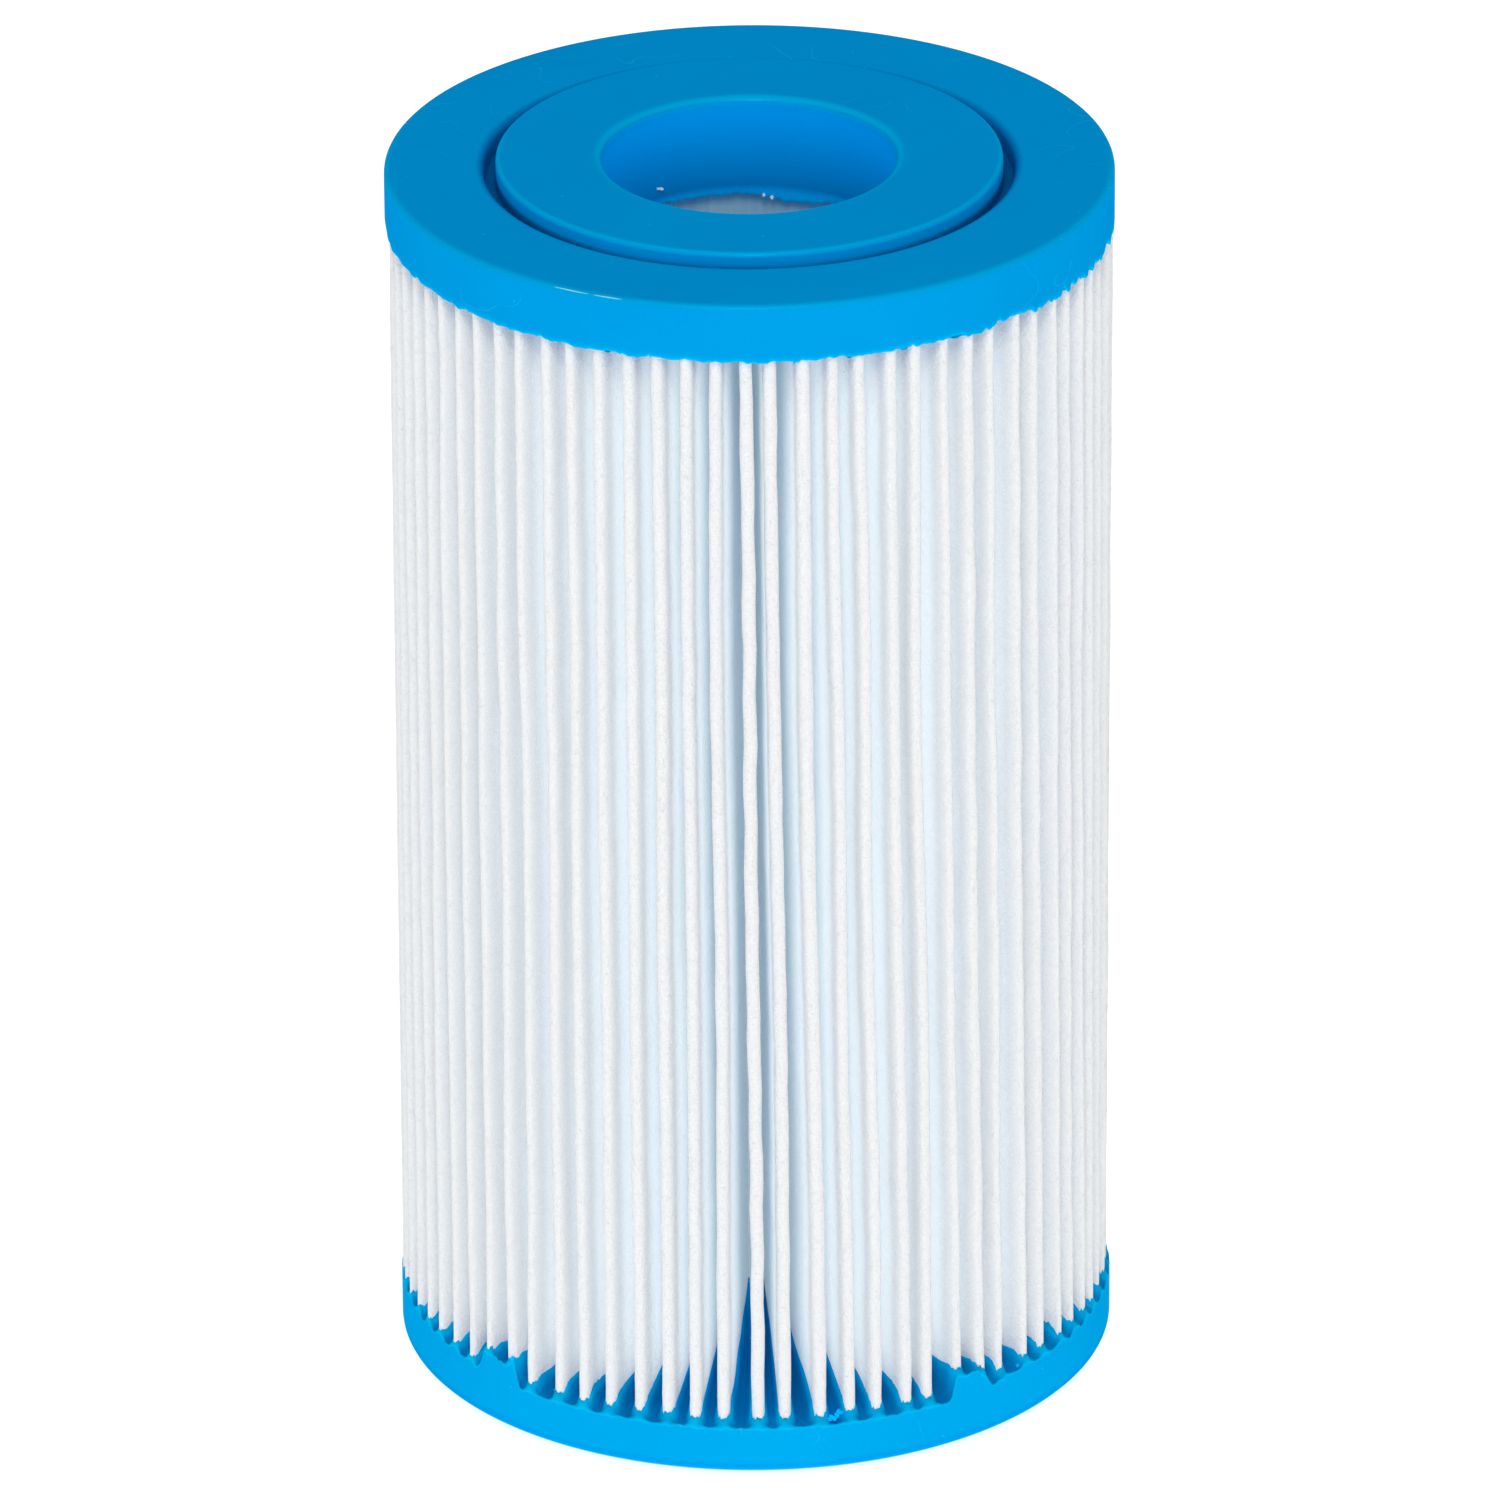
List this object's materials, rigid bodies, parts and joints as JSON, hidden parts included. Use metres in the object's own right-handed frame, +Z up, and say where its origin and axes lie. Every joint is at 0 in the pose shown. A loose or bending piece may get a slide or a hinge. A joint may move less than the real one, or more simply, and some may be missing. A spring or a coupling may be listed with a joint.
{
  "type": "pleated filter cartridge",
  "caption": "Round pleated filter cartridge, open at both ends, with flexible cast end caps and a slotted core tube.",
  "frame": {"origin": "middle of the face that the cartridge stands on, which is the raised disc of the lower end cap", "axes": "+Z up along the cartridge's axis, towards the upper end cap; +Y points at the valley that holds the media's seam"},
  "size_m": [0.108, 0.108, 0.1926],
  "materials": {
    "end_cap": "satin cast polyurethane, blue",
    "media": "matte spunbond nonwoven, white",
    "seam": "hot-melt bead, off-white",
    "core": "moulded polypropylene, off-white"
  },
  "bodies": {
    "root": {"top_end_cap": "end_cap", "bottom_end_cap": "end_cap", "pleated_media": "media", "media_seam": "seam", "core_tube": "core"}
  },
  "joints": []
}
